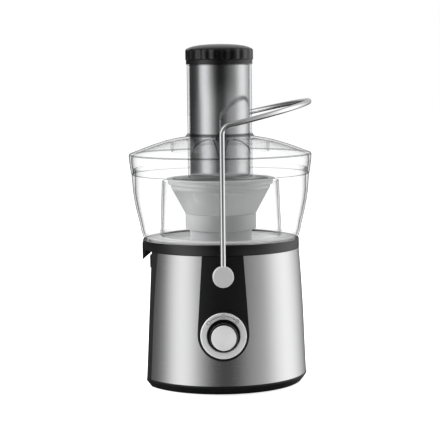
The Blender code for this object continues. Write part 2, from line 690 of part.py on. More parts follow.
plunger = turned(
    "interlock_plunger",
    [(0, 132.4), (1.0, 132.4), (1.7, 131.6), (1.7, 125.4), (0, 125.4)],
    GREY,
    SMALL,
)
plunger.location = (0, -81 * MM, 0)
block("interlock_microswitch", (-10, -84.5, 112.0), (10, -77.5, 121.9), BLACK)
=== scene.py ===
"""Looks of the centrifugal juicer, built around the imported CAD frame. Metres; helpers take millimetres."""

import math

import bmesh
import bpy
from mathutils import Matrix, Vector


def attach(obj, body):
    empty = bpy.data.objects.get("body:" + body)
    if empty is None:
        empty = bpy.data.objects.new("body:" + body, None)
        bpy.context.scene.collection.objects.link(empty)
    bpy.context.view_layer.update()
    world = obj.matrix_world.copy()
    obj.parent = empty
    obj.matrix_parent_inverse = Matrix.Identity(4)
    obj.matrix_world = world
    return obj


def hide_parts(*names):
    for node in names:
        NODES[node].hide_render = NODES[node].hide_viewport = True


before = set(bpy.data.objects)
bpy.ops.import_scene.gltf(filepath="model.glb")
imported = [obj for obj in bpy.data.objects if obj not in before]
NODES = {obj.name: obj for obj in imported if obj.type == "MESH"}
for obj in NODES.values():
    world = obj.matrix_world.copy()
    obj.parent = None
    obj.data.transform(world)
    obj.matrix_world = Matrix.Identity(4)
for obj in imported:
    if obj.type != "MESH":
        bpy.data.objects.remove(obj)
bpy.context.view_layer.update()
SCENE = bpy.context.scene
MM = 0.001
TAU = 2 * math.pi

# ------------------------------------------------------------------ design numbers (millimetres), as in the CAD
BASE_RADII = ((160.6, 93.3), (120.5, 96.2), (84.0, 98.2), (47.4, 99.7), (11.4, 101.2))
FLAT_X0, FLAT_SLOPE, FLAT_HALF = -90.3, 0.0493, 55.6
PANEL_TOP_HALF, PANEL_END_R, DIAL_Z, DIAL_TILT = 23.0, 29.4, 70.0, 2.35
PIVOT_Z, ARM_Y, ROD_R = 140.0, 113.0, 3.1
HOOP_REACH, HOOP_Z, HOOP_RISE, BEND_R = 106.0, 309.0, 0.24, 11.0
CORD_Z = 38.0
ROUND = 160  # steps of a large turned piece


def spline_radius(z):
    """The base's radius: a smooth curve through the CAD's rings."""
    pts = sorted(BASE_RADII)
    if z <= pts[0][0]:
        return pts[0][1]
    if z >= pts[-1][0]:
        return pts[-1][1]
    for i in range(len(pts) - 1):
        (z0, r0), (z1, r1) = pts[i], pts[i + 1]
        if z0 <= z <= z1:
            def slope(k):
                if k <= 0:
                    return (pts[1][1] - pts[0][1]) / (pts[1][0] - pts[0][0])
                if k >= len(pts) - 1:
                    return (pts[-1][1] - pts[-2][1]) / (pts[-1][0] - pts[-2][0])
                return (pts[k + 1][1] - pts[k - 1][1]) / (pts[k + 1][0] - pts[k - 1][0])
            h, t = z1 - z0, (z - z0) / (z1 - z0)
            m0, m1 = slope(i) * h, slope(i + 1) * h
            return (2 * t**3 - 3 * t**2 + 1) * r0 + (t**3 - 2 * t**2 + t) * m0 + (-2 * t**3 + 3 * t**2) * r1 + (t**3 - t**2) * m1


# ------------------------------------------------------------------ material helpers
def new_material(name):
    mat = bpy.data.materials.new(name)
    mat.use_nodes = True
    return mat, mat.node_tree, mat.node_tree.nodes["Principled BSDF"]


def node(tree, kind, **settings):
    n = tree.nodes.new(kind)
    for key, value in settings.items():
        if key.startswith("in_"):
            n.inputs[key[3:].replace("_", " ")].default_value = value
        else:
            setattr(n, key, value)
    return n


def ramp(tree, stops, interpolation="EASE"):
    n = tree.nodes.new("ShaderNodeValToRGB")
    n.color_ramp.interpolation = interpolation
    elements = n.color_ramp.elements
    while len(elements) > 1:
        elements.remove(elements[-1])
    elements[0].position = stops[0][0]
    elements[0].color = (*[stops[0][1]] * 3, 1) if not isinstance(stops[0][1], tuple) else (*stops[0][1], 1)
    for position, value in stops[1:]:
        e = elements.new(position)
        e.color = (*[value] * 3, 1) if not isinstance(value, tuple) else (*value, 1)
    return n


def grain(tree, shader, scale, depth, low, high, detail=3.0):
    """Fine moulded grain: noise into roughness and a slight bump."""
    coords = node(tree, "ShaderNodeTexCoord")
    noise = node(tree, "ShaderNodeTexNoise", in_Scale=scale, in_Detail=detail, in_Roughness=0.6)
    spread = node(tree, "ShaderNodeMapRange")
    spread.inputs["To Min"].default_value = low
    spread.inputs["To Max"].default_value = high
    bump = node(tree, "ShaderNodeBump", in_Strength=depth, in_Distance=0.0002)
    tree.links.new(coords.outputs["Object"], noise.inputs["Vector"])
    tree.links.new(noise.outputs["Fac"], spread.inputs["Value"])
    tree.links.new(spread.outputs["Result"], shader.inputs["Roughness"])
    tree.links.new(noise.outputs["Fac"], bump.inputs["Height"])
    tree.links.new(bump.outputs["Normal"], shader.inputs["Normal"])
    return noise


def plastic(name, colour, low, high, scale=900.0, depth=0.12, vary=0.12, specular=0.5):
    mat, tree, shader = new_material(name)
    noise = grain(tree, shader, scale, depth, low, high)
    shader.inputs["Specular IOR Level"].default_value = specular
    wide = node(tree, "ShaderNodeTexNoise", in_Scale=22.0, in_Detail=2.0)
    coords = node(tree, "ShaderNodeTexCoord")
    tree.links.new(coords.outputs["Object"], wide.inputs["Vector"])
    tint = ramp(tree, [(0.3, tuple(c * (1 - vary) for c in colour)), (0.7, tuple(c * (1 + vary) for c in colour))], "LINEAR")
    tree.links.new(wide.outputs["Fac"], tint.inputs["Fac"])
    tree.links.new(tint.outputs["Color"], shader.inputs["Base Color"])
    return mat


def axis_vectors(tree, centre, axis="Z"):
    """Object-space position from centre, and nodes' sockets for it."""
    coords = node(tree, "ShaderNodeTexCoord")
    move = node(tree, "ShaderNodeVectorMath", operation="SUBTRACT")
    move.inputs[1].default_value = centre
    tree.links.new(coords.outputs["Object"], move.inputs[0])
    return move


def radial_tangent(tree, offset_node, axis):
    """A tangent running round the axis, turned into world space."""
    cross = node(tree, "ShaderNodeVectorMath", operation="CROSS_PRODUCT")
    cross.inputs[0].default_value = axis
    tree.links.new(offset_node.outputs["Vector"], cross.inputs[1])
    norm = node(tree, "ShaderNodeVectorMath", operation="NORMALIZE")
    tree.links.new(cross.outputs["Vector"], norm.inputs[0])
    world = node(tree, "ShaderNodeVectorTransform", vector_type="VECTOR", convert_from="OBJECT", convert_to="WORLD")
    tree.links.new(norm.outputs["Vector"], world.inputs["Vector"])
    return world


def brushed_sleeve():
    """Stainless sheet brushed round the sleeve: long fine lines, a slight tone change from line to line."""
    mat, tree, shader = new_material("brushed_steel_sleeve")
    shader.inputs["Metallic"].default_value = 1.0
    shader.inputs["Anisotropic"].default_value = 0.5
    shader.inputs["Anisotropic Rotation"].default_value = 0.25
    offset = axis_vectors(tree, (0, 0, 0))
    split = node(tree, "ShaderNodeSeparateXYZ")
    tree.links.new(offset.outputs["Vector"], split.inputs["Vector"])
    around = node(tree, "ShaderNodeMath", operation="ARCTAN2")
    tree.links.new(split.outputs["Y"], around.inputs[0])
    tree.links.new(split.outputs["X"], around.inputs[1])
    join = node(tree, "ShaderNodeCombineXYZ")
    slow = node(tree, "ShaderNodeMath", operation="MULTIPLY")
    slow.inputs[1].default_value = 0.9
    fast = node(tree, "ShaderNodeMath", operation="MULTIPLY")
    fast.inputs[1].default_value = 1400.0
    tree.links.new(around.outputs[0], slow.inputs[0])
    tree.links.new(split.outputs["Z"], fast.inputs[0])
    tree.links.new(slow.outputs[0], join.inputs["X"])
    tree.links.new(fast.outputs[0], join.inputs["Y"])
    lines = node(tree, "ShaderNodeTexNoise", in_Scale=2.2, in_Detail=4.0, in_Roughness=0.7)
    tree.links.new(join.outputs["Vector"], lines.inputs["Vector"])
    tone = ramp(tree, [(0.25, (0.735, 0.735, 0.74)), (0.75, (0.765, 0.765, 0.77))], "LINEAR")
    tree.links.new(lines.outputs["Fac"], tone.inputs["Fac"])
    tree.links.new(tone.outputs["Color"], shader.inputs["Base Color"])
    rough = node(tree, "ShaderNodeMapRange")
    rough.inputs["To Min"].default_value = 0.24
    rough.inputs["To Max"].default_value = 0.29
    tree.links.new(lines.outputs["Fac"], rough.inputs["Value"])
    tree.links.new(rough.outputs["Result"], shader.inputs["Roughness"])
    bump = node(tree, "ShaderNodeBump", in_Strength=0.015, in_Distance=0.0001)
    tree.links.new(lines.outputs["Fac"], bump.inputs["Height"])
    tree.links.new(bump.outputs["Normal"], shader.inputs["Normal"])
    world = radial_tangent(tree, offset, (0, 0, 1))
    tree.links.new(world.outputs["Vector"], shader.inputs["Tangent"])
    return mat


def spun_metal(name, centre, axis, tone_low, tone_high, anisotropy=0.85, roughness=0.27, scale=900.0, metallic=1.0):
    """Metal turned on a lathe: fine circles about the axis."""
    mat, tree, shader = new_material(name)
    shader.inputs["Metallic"].default_value = metallic
    shader.inputs["Anisotropic"].default_value = anisotropy
    shader.inputs["Anisotropic Rotation"].default_value = 0.25
    offset = axis_vectors(tree, centre)
    length = node(tree, "ShaderNodeVectorMath", operation="LENGTH")
    tree.links.new(offset.outputs["Vector"], length.inputs[0])
    rings = node(tree, "ShaderNodeTexNoise", noise_dimensions="1D", in_Scale=scale, in_Detail=3.0)
    tree.links.new(length.outputs["Value"], rings.inputs["W"])
    tone = ramp(tree, [(0.3, tone_low), (0.7, tone_high)], "LINEAR")
    tree.links.new(rings.outputs["Fac"], tone.inputs["Fac"])
    tree.links.new(tone.outputs["Color"], shader.inputs["Base Color"])
    rough = node(tree, "ShaderNodeMapRange")
    rough.inputs["To Min"].default_value = roughness - 0.05
    rough.inputs["To Max"].default_value = roughness + 0.05
    tree.links.new(rings.outputs["Fac"], rough.inputs["Value"])
    tree.links.new(rough.outputs["Result"], shader.inputs["Roughness"])
    bump = node(tree, "ShaderNodeBump", in_Strength=0.08, in_Distance=0.0001)
    tree.links.new(rings.outputs["Fac"], bump.inputs["Height"])
    tree.links.new(bump.outputs["Normal"], shader.inputs["Normal"])
    world = radial_tangent(tree, offset, axis)
    tree.links.new(world.outputs["Vector"], shader.inputs["Tangent"])
    return mat


def metal(name, colour, low, high, scale=400.0, depth=0.03, metallic=1.0):
    mat, tree, shader = new_material(name)
    shader.inputs["Metallic"].default_value = metallic
    shader.inputs["Base Color"].default_value = (*colour, 1)
    grain(tree, shader, scale, depth, low, high)
    return mat


def frosted(name, share):
    """Clear plastic with a frosted face: part of the light passes, the rest is scattered."""
    mat, tree, shader = new_material(name)
    shader.inputs["Base Color"].default_value = (0.88, 0.88, 0.88, 1)
    grain(tree, shader, 500.0, 0.02, 0.25, 0.4)
    out = next(n for n in tree.nodes if n.type == "OUTPUT_MATERIAL")
    clear = node(tree, "ShaderNodeBsdfTransparent")
    mix = node(tree, "ShaderNodeMixShader")
    mix.inputs["Fac"].default_value = share
    tree.links.new(clear.outputs[0], mix.inputs[1])
    tree.links.new(shader.outputs[0], mix.inputs[2])
    tree.links.new(mix.outputs[0], out.inputs["Surface"])
    return mat


def clear_plastic(name, tint, edge, power, gloss=1.0):
    """Clear moulded plastic as seen in a thin wall: passes light straight through and mirrors by Fresnel. Where the
    wall is seen edge on, the passing light is darkened towards the edge colour: painted shade in place of the dark
    lines that refraction draws at the walls."""
    mat = bpy.data.materials.new(name)
    mat.use_nodes = True
    tree = mat.node_tree
    tree.nodes.clear()
    out = node(tree, "ShaderNodeOutputMaterial")
    mix = node(tree, "ShaderNodeMixShader")
    clear = node(tree, "ShaderNodeBsdfTransparent")
    shine = node(tree, "ShaderNodeBsdfGlossy", in_Roughness=0.03)
    shine.inputs["Color"].default_value = (gloss, gloss, gloss, 1)
    facing = node(tree, "ShaderNodeLayerWeight", in_Blend=0.5)
    shaped = node(tree, "ShaderNodeMath", operation="POWER")
    shaped.inputs[1].default_value = power
    tree.links.new(facing.outputs["Facing"], shaped.inputs[0])
    steep = node(tree, "ShaderNodeMath", operation="POWER")
    steep.inputs[1].default_value = 8.0
    tree.links.new(facing.outputs["Facing"], steep.inputs[0])
    fresnel = node(tree, "ShaderNodeMapRange")
    fresnel.inputs["To Min"].default_value = 0.024
    fresnel.inputs["To Max"].default_value = 0.6
    tree.links.new(steep.outputs[0], fresnel.inputs["Value"])
    colour = node(tree, "ShaderNodeMix", data_type="RGBA")
    colour.inputs[6].default_value = (*tint, 1)
    colour.inputs[7].default_value = (*edge, 1)
    tree.links.new(shaped.outputs[0], colour.inputs["Factor"])
    tree.links.new(colour.outputs[2], clear.inputs["Color"])
    tree.links.new(fresnel.outputs["Result"], mix.inputs["Fac"])
    tree.links.new(clear.outputs[0], mix.inputs[1])
    tree.links.new(shine.outputs[0], mix.inputs[2])
    tree.links.new(mix.outputs[0], out.inputs["Surface"])
    return mat


BLACK = plastic("satin_black_plastic", (0.0105, 0.0105, 0.011), 0.30, 0.42, 1500.0, 0.10, 0.12, 0.22)
SHEEN = plastic("half_gloss_black_plastic", (0.005, 0.005, 0.0053), 0.22, 0.28, 900.0, 0.04, 0.1, 0.7)
BLACK_SOFT = plastic("fine_grain_black_plastic", (0.012, 0.012, 0.0125), 0.42, 0.55, 1800.0, 0.2)
GLOSS = plastic("gloss_black_plastic", (0.005, 0.005, 0.0053), 0.12, 0.18, 300.0, 0.015, 0.06, 0.6)
GREY = plastic("grey_basket_plastic", (0.50, 0.50, 0.505), 0.30, 0.42, 1200.0, 0.06, 0.04)
PALE = plastic("pale_tray_plastic", (0.86, 0.86, 0.86), 0.16, 0.24, 700.0, 0.03, 0.02)
RUBBER = plastic("black_rubber", (0.02, 0.02, 0.02), 0.75, 0.9, 2200.0, 0.3)
STEEL = brushed_sleeve()
SIEVE = metal("sieve_steel", (0.66, 0.66, 0.665), 0.28, 0.42, 900.0, 0.05, 0.4)
CHROME = metal("polished_chrome", (0.95, 0.95, 0.955), 0.17, 0.22, 60.0, 0.004)
SMOKED = metal("smoked_metal", (0.62, 0.62, 0.63), 0.09, 0.14, 90.0, 0.004)
ZINC = metal("zinc_plate", (0.6, 0.6, 0.62), 0.3, 0.5, 300.0, 0.05)
COPPER = metal("enamelled_copper", (0.55, 0.20, 0.08), 0.25, 0.45, 1500.0, 0.3)
IRON = metal("laminated_iron", (0.2, 0.2, 0.21), 0.4, 0.6, 900.0, 0.2)
# The edge colours of these clear materials are painted shade: each wall is darkened where it is seen edge on, in place
# of refraction.
CLEAR = clear_plastic("clear_plastic", (0.992, 0.993, 0.993), (0.01, 0.01, 0.01), 8.5)
ROOF = clear_plastic("clear_plastic_roof", (0.99, 0.991, 0.991), (0.04, 0.04, 0.04), 20.0)
# Grey tint for corner faces of the clear pieces: painted shade for the dark lines that refraction draws along rims and
# corners.
EDGE_SHADE = clear_plastic("clear_plastic_edge_shade", (0.45, 0.46, 0.46), (0.05, 0.05, 0.05), 8.0)
FROST = frosted("frosted_bowl_floor", 0.5)
RIB = clear_plastic("clear_plastic_rib", (0.80, 0.81, 0.81), (0.20, 0.20, 0.20), 2.5)
MARK = plastic("dial_print", (0.05, 0.05, 0.052), 0.4, 0.5, 800.0, 0.02)


# ------------------------------------------------------------------ mesh helpers
def smooth(obj, angle=32.0):
    obj.data.shade_smooth()
    obj.data.set_sharp_from_angle(angle=math.radians(angle))
    return obj


def make(name, bm, mat, angle=32.0):
    bmesh.ops.recalc_face_normals(bm, faces=bm.faces)
    mesh = bpy.data.meshes.new(name)
    bm.to_mesh(mesh)
    bm.free()
    obj = bpy.data.objects.new(name, mesh)
    SCENE.collection.objects.link(obj)
    if mat:
        mesh.materials.append(mat)
    return smooth(obj, angle)


def fillet(points, closed=True, arc=4):
    """Rounds a profile's corners: each point is (r, z) or (r, z, radius)."""
    out = []
    n = len(points)
    for i, p in enumerate(points):
        radius = p[2] if len(p) > 2 else 0.0
        if radius <= 0 or (not closed and i in (0, n - 1)):
            out.append((p[0], p[1]))
            continue
        here = Vector(p[:2])
        before, after = Vector(points[i - 1][:2]) - here, Vector(points[(i + 1) % n][:2]) - here
        angle = before.angle(after)
        if angle < 0.02 or angle > math.pi - 0.02:
            out.append((p[0], p[1]))
            continue
        reach = min(radius / math.tan(angle / 2), before.length * 0.48, after.length * 0.48)
        radius = reach * math.tan(angle / 2)
        middle = here + (before.normalized() + after.normalized()).normalized() * (radius / math.sin(angle / 2))
        start, end = here + before.normalized() * reach, here + after.normalized() * reach
        a0 = math.atan2(start.y - middle.y, start.x - middle.x)
        a1 = math.atan2(end.y - middle.y, end.x - middle.x)
        turn = (a1 - a0 + math.pi) % TAU - math.pi
        for k in range(arc + 1):
            a = a0 + turn * k / arc
            out.append((middle.x + radius * math.cos(a), middle.y + radius * math.sin(a)))
    return out


def lathe(name, profile, mat, steps=ROUND, closed=True, angle=32.0, arc=4, wave=None):
    """A turned piece with rounded corners. An open profile starts and ends on the axis."""
    pts = fillet(profile, closed, arc)
    bm = bmesh.new()
    rings = []
    for r, z in pts:
        if r < 1e-6:
            rings.append([bm.verts.new((0, 0, z * MM))])
        else:
            ring = []
            for i in range(steps):
                a = TAU * i / steps
                rr = wave(r, z, a) if wave else r
                ring.append(bm.verts.new((rr * MM * math.cos(a), rr * MM * math.sin(a), z * MM)))
            rings.append(ring)
    pairs = list(zip(rings, rings[1:])) + ([(rings[-1], rings[0])] if closed else [])
    for a, b in pairs:
        for i in range(steps):
            j = (i + 1) % steps
            if len(a) == 1 and len(b) == 1:
                break
            if len(a) == 1:
                bm.faces.new((a[0], b[j], b[i]))
            elif len(b) == 1:
                bm.faces.new((a[i], a[j], b[0]))
            else:
                bm.faces.new((a[i], a[j], b[j], b[i]))
    return make(name, bm, mat, angle)


def edge_lines(obj, mat, *zones):
    """Gives a second material to the faces of a turned clear piece inside the zones, (low r, high r, low z, high z) in
    mm; with the edge-shade material the corner faces get painted shade lines.
    """
    obj.data.materials.append(mat)
    slot = len(obj.data.materials) - 1
    for polygon in obj.data.polygons:
        r, z = math.hypot(polygon.center.x, polygon.center.y) / MM, polygon.center.z / MM
        if any(r0 <= r <= r1 and z0 <= z <= z1 for r0, r1, z0, z1 in zones):
            polygon.material_index = slot
    return obj


def box(name, low, high, mat=None, bevel=0.0):
    bm = bmesh.new()
    bmesh.ops.create_cube(bm, size=1.0)
    low, high = Vector(low) * MM, Vector(high) * MM
    for v in bm.verts:
        v.co = (low + high) / 2 + Vector((v.co.x * (high - low).x, v.co.y * (high - low).y, v.co.z * (high - low).z))
    if bevel:
        bmesh.ops.bevel(bm, geom=list(bm.edges) + list(bm.verts), offset=bevel * MM, segments=3, profile=0.5, affect="EDGES")
    return make(name, bm, mat)


def extruded(name, outline, low, high, mat=None):
    """A flat outline in X and Y, extruded along Z."""
    bm = bmesh.new()
    bottom = [bm.verts.new((x * MM, y * MM, low * MM)) for x, y in outline]
    top = [bm.verts.new((x * MM, y * MM, high * MM)) for x, y in outline]
    bm.faces.new(bottom)
    bm.faces.new(top)
    for i in range(len(outline)):
        j = (i + 1) % len(outline)
        bm.faces.new((bottom[i], bottom[j], top[j], top[i]))
    return make(name, bm, mat)


def boolean(obj, other, operation="DIFFERENCE", keep=False):
    """Cuts or joins now, and removes the other object."""
    modifier = obj.modifiers.new("cut", "BOOLEAN")
    modifier.operation = operation
    modifier.object = other
    modifier.solver = "EXACT"
    apply_all(obj)
    if not keep:
        bpy.data.objects.remove(other, do_unlink=True)
    return obj


def apply_all(obj):
    bpy.context.view_layer.update()
    graph = bpy.context.evaluated_depsgraph_get()
    mesh = bpy.data.meshes.new_from_object(obj.evaluated_get(graph), depsgraph=graph)
    obj.modifiers.clear()
    old = obj.data
    obj.data = mesh
    mesh.name = obj.name
    bpy.data.meshes.remove(old)
    return obj


def bevelled(obj, width, segments=2, angle=35.0):
    modifier = obj.modifiers.new("edge", "BEVEL")
    modifier.width = width * MM
    modifier.segments = segments
    modifier.limit_method = "ANGLE"
    modifier.angle_limit = math.radians(angle)
    modifier.use_clamp_overlap = True
    apply_all(obj)
    return smooth(obj)


def place(obj, matrix):
    obj.data.transform(matrix)
    obj.data.update()
    return obj


def joined(name, objects):
    """One object from several separate closed bodies."""
    bm = bmesh.new()
    materials = []
    for obj in objects:
        start = len(bm.faces)
        bm.from_mesh(obj.data)
        bm.faces.ensure_lookup_table()
        base = len(materials)
        for m in obj.data.materials:
            if m not in materials:
                materials.append(m)
        slots = [materials.index(m) for m in obj.data.materials]
        for face in bm.faces[start:]:
            face.material_index = slots[min(face.material_index, len(slots) - 1)] if slots else 0
        bpy.data.objects.remove(obj, do_unlink=True)
    mesh = bpy.data.meshes.new(name)
    bm.to_mesh(mesh)
    bm.free()
    for m in materials:
        mesh.materials.append(m)
    out = bpy.data.objects.new(name, mesh)
    SCENE.collection.objects.link(out)
    return smooth(out)


def sweep(name, points, radius, mat, sides=24, closed=False, taper=None):
    """A round rod along a path, with its frame carried along so that it doesn't twist, and flat end caps."""
    pts = [Vector(p) for p in points]
    n = len(pts)
    bm = bmesh.new()
    tangents = []
    for i in range(n):
        if closed:
            t = pts[(i + 1) % n] - pts[i - 1]
        else:
            t = pts[min(i + 1, n - 1)] - pts[max(i - 1, 0)]
        tangents.append(t.normalized())
    side = tangents[0].orthogonal().normalized()
    rings = []
    for i in range(n):
        t = tangents[i]
        side = (side - t * side.dot(t)).normalized()
        other = t.cross(side)
        r = (radius if taper is None else taper(i / (n - 1), radius)) * MM
        rings.append([bm.verts.new(pts[i] * MM + (side * math.cos(TAU * k / sides) + other * math.sin(TAU * k / sides)) * r) for k in range(sides)])
    spans = list(zip(rings, rings[1:])) + ([(rings[-1], rings[0])] if closed else [])
    for a, b in spans:
        for k in range(sides):
            j = (k + 1) % sides
            bm.faces.new((a[k], a[j], b[j], b[k]))
    if not closed:
        bm.faces.new(rings[0])
        bm.faces.new(rings[-1])
    return make(name, bm, mat, 50.0)


def give(node_name, mat):
    """Puts a finish on a CAD node that stays visible."""
    obj = NODES[node_name]
    obj.data.materials.clear()
    obj.data.materials.append(mat)
    for polygon in obj.data.polygons:
        polygon.material_index = 0


def ride(obj, body, replaces=()):
    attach(obj, body)
    if replaces:
        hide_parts(*replaces)
    return obj


DIAL = Matrix.Translation((0, -spline_radius(DIAL_Z) * MM, DIAL_Z * MM)) @ Matrix.Rotation(math.radians(90 - DIAL_TILT), 4, "X")
FRONT = Matrix.Translation((0, 0, PIVOT_Z * MM)) @ Matrix.Rotation(math.radians(90), 4, "X")
REAR = Matrix.Translation((0, 0, PIVOT_Z * MM)) @ Matrix.Rotation(math.radians(-90), 4, "X")
DIAL_NORMAL = (DIAL.to_3x3() @ Vector((0, 0, 1))).normalized()

# ------------------------------------------------------------------ base: steel sleeve and black panels
RINGS = [160.6 - (160.6 - 11.4) * i / 40 for i in range(41)]


def cone(name, inset, low, high, mat=None, steps=192):
    heights = [high] + [z for z in RINGS if low < z < high] + [low]
    return lathe(name, [(0, high)] + [(spline_radius(z) - inset, z) for z in heights] + [(0, low)], mat, steps, False)


def flat_cutter(name, inset):
    lean = math.atan(FLAT_SLOPE)
    obj = box(name, (-60, -160, -60), (0, 160, 260))
    return place(obj, Matrix.Translation(((FLAT_X0 + inset / math.cos(lean)) * MM, 0, 0)) @ Matrix.Rotation(lean, 4, "Y"))


def front_outline(grow, arc=40):
    points = [(-PANEL_TOP_HALF - grow, 168.0), (-PANEL_END_R - grow, DIAL_Z + 2)]
    for i in range(arc + 1):
        a = math.pi + math.pi * i / arc
        points.append(((PANEL_END_R + grow) * math.cos(a), DIAL_Z + (PANEL_END_R + grow) * math.sin(a)))
    return points + [(PANEL_END_R + grow, DIAL_Z + 2), (PANEL_TOP_HALF + grow, 168.0)]


def rear_outline(grow):
    half = PANEL_TOP_HALF + grow
    return [(-half, 168.0), (-half - 6.4, 22.0 - grow), (half + 6.4, 22.0 - grow), (half, 168.0)]


def prism(name, outline, front=True):
    obj = extruded(name, outline, 60.0, 130.0)
    turn = Matrix.Rotation(math.radians(90), 4, "X")
    return place(obj, turn if front else Matrix.Translation((0, 190 * MM, 0)) @ turn)


sleeve_profile = [(spline_radius(z), z) for z in RINGS] + [(spline_radius(z) - 1.0, z) for z in reversed(RINGS)]
sleeve = lathe("steel_sleeve_skin", sleeve_profile, STEEL, 240)
boolean(sleeve, box("w", (-120, -FLAT_HALF, -10), (-50, FLAT_HALF, 180)))
boolean(sleeve, prism("w", front_outline(0.3)))
boolean(sleeve, prism("w", rear_outline(0.3), False))
smooth(sleeve, 40)
ride(sleeve, "base", ["steel_sleeve"])

front = cone("front_panel_shell", 0.0, 11.4, 160.6, BLACK)
boolean(front, prism("k", front_outline(0.0)), "INTERSECT")
boss = place(lathe("b", [(0, 85), (10.5, 85), (10.5, 109.8), (0, 109.8)][::-1], BLACK, 64, False), FRONT)
boolean(front, boss, "UNION")
pad = place(lathe("p", [(0, 0.8), (PANEL_END_R - 0.5, 0.8, 0.5), (PANEL_END_R - 0.5, -10), (0, -10)], BLACK, 96, False), DIAL)
boolean(front, pad, "UNION")
boolean(front, cone("h", 1.0, -20, 190))
boolean(front, place(lathe("d", [(0, 10), (3.6, 10), (3.6, -30), (0, -30)], None, 32, False), DIAL))
boolean(front, place(lathe("d", [(0, 130), (4.4, 130), (4.4, 70), (0, 70)], None, 32, False), FRONT))
smooth(front, 35)
ride(front, "base", ["front_panel"])

rear = cone("rear_panel_shell", 0.0, 11.4, 160.6, BLACK)
boolean(rear, prism("k", rear_outline(0.0), False), "INTERSECT")
boolean(rear, place(lathe("b", [(0, 109.8), (10.5, 109.8), (10.5, 85), (0, 85)], BLACK, 64, False), REAR), "UNION")
boolean(rear, cone("h", 1.0, -20, 190))
boolean(rear, place(lathe("d", [(0, 130), (4.4, 130), (4.4, 70), (0, 70)], None, 30, False), REAR))
CORD = Matrix.Translation((0, 0, CORD_Z * MM)) @ Matrix.Rotation(math.radians(-90), 4, "X")
boolean(rear, place(lathe("d", [(0, 110), (7.0, 110), (7.0, 80), (0, 80)], None, 30, False), CORD))
smooth(rear, 35)
ride(rear, "base", ["rear_panel"])

side = cone("side_panel_shell", 0.0, 11.4, 160.6, BLACK_SOFT)
boolean(side, flat_cutter("f", 0.0))
boolean(side, box("k", (-120, 0.3 - FLAT_HALF, -10), (-50, FLAT_HALF - 0.3, 180)), "INTERSECT")
hollow = cone("h", 1.0, -20, 190)
boolean(hollow, flat_cutter("f", 1.0))
boolean(side, hollow)
smooth(side, 35)
ribs = [side]
for i in range(6):
    ribs.append(box(f"side_rib_{i}", (-85.3, -12, 138.2 + 2.4 * i), (-82.6, 12, 139.6 + 2.4 * i), BLACK_SOFT, 0.35))
side = joined("side_panel_shell", ribs)
ride(side, "base", ["side_panel"])

def slope_cutter(inset):
    """The skirt's slope under the flat, set in."""
    obj = box("s", (-60, -160, -60), (0, 160, 60))
    return place(obj, Matrix.Translation(((inset - 90.1) * MM, 0, 9.4 * MM)) @ Matrix.Rotation(-math.atan2(6.4, 8.5), 4, "Y"))


skirt = lathe("foot_skirt_ring", [(0, 11.1), (101.3, 11.1, 0.3), (101.9, 9.4, 0.8), (95.5, 0.9, 0.8), (0, 0.9)], BLACK, 240, False)
boolean(skirt, flat_cutter("f", -0.2))
boolean(skirt, slope_cutter(0.0))
hollow = lathe("h", [(0, 15), (97.4, 15), (97.0, 8.5), (92.5, 3.4), (78, 3.4), (78, -4), (0, -4)], None, 192, False)
boolean(hollow, flat_cutter("f", 3.0))
boolean(hollow, slope_cutter(3.1))
boolean(skirt, hollow)
smooth(skirt, 35)
ride(skirt, "base", ["foot_skirt"])

# ------------------------------------------------------------------ collar, tray and spout
SLOT = ((-120, -16.4, 150), (-83.6, 16.4, 169.4))


collar = lathe("top_collar_ring", [(92.95, 173.4, 0.1), (93.5, 173.3, 0.3), (93.6, 161.0, 0.3), (89.4, 161.0), (89.4, 170.9), (92.95, 170.9)], SHEEN, 192)
for vertex in collar.data.vertices:  # the lip dips a little towards the sides
    if vertex.co.z > 0.1715:
        side_on = abs(vertex.co.x) / 0.0936
        vertex.co.z -= 0.0017 * side_on**2
boolean(collar, box("s", *SLOT))
smooth(collar, 35)
ride(collar, "base", ["top_collar"])

tray = lathe("juice_tray_dish", [(86.8, 170.7, 0.4), (89.0, 170.7, 0.4), (89.0, 162.3), (17.0, 160.6), (17.0, 177.0, 0.5), (19.2, 177.0, 0.5), (19.2, 164.3, 2.0), (86.8, 164.3, 3.0)], PALE, 144)
boolean(tray, box("s", *SLOT))
smooth(tray, 35)
ride(tray, "base", ["juice_tray"])

spout = box("juice_spout_lip", (-93.9, -16.0, 148.5), (-83.9, 16.0, 169.0), SHEEN)
boolean(spout, box("h", (-92.3, -14.4, 130), (-70, 14.4, 166.8)))
chamfer = box("c", (-20, -30, -30), (20, 30, -10))
place(chamfer, Matrix.Translation((0, 0, 10 * MM)))
place(chamfer, Matrix.Translation((-93.9 * MM, 0, 148.5 * MM)) @ Matrix.Rotation(-math.atan2(6.2, 7.4), 4, "Y"))
boolean(spout, chamfer)
bevelled(spout, 0.35)
ride(spout, "base", ["juice_spout"])

# ------------------------------------------------------------------ bowl
bowl = lathe(
    "pulp_container_bowl",
    [
        (101.7, 256.0, 0.6), (103.9, 256.0, 0.6), (103.7, 249.6, 0.3), (106.0, 249.6, 0.6), (105.3, 239.5), (104.5, 229.0), (102.8, 217.0),
        (100.4, 205.0), (97.5, 193.0), (95.2, 181.0, 3), (92.8, 174.0, 1.2), (91.9, 171.3, 0.4), (70.7, 171.3),
        (70.4, 181.0), (68.0, 241.0, 0.5), (70.0, 241.0, 0.5), (72.5, 181.0), (72.6, 175.0, 1.2), (88.0, 173.6, 1.5),
        (91.0, 175.5, 2), (93.0, 181.0, 3), (95.3, 193.0), (98.2, 205.0), (100.6, 217.0), (102.3, 229.0), (102.2, 248.0),
    ],
    CLEAR,
    192,
)
# Painted shade: dark lines on the bowl's rim and foot corners. Then the frosted floor.
edge_lines(bowl, EDGE_SHADE, (104.9, 106.2, 248.7, 249.8), (91.5, 92.4, 171.0, 172.2))
edge_lines(bowl, FROST, (72.6, 91.2, 172.8, 176.2))
ride(bowl, "base", ["pulp_container", "juice_collector"])

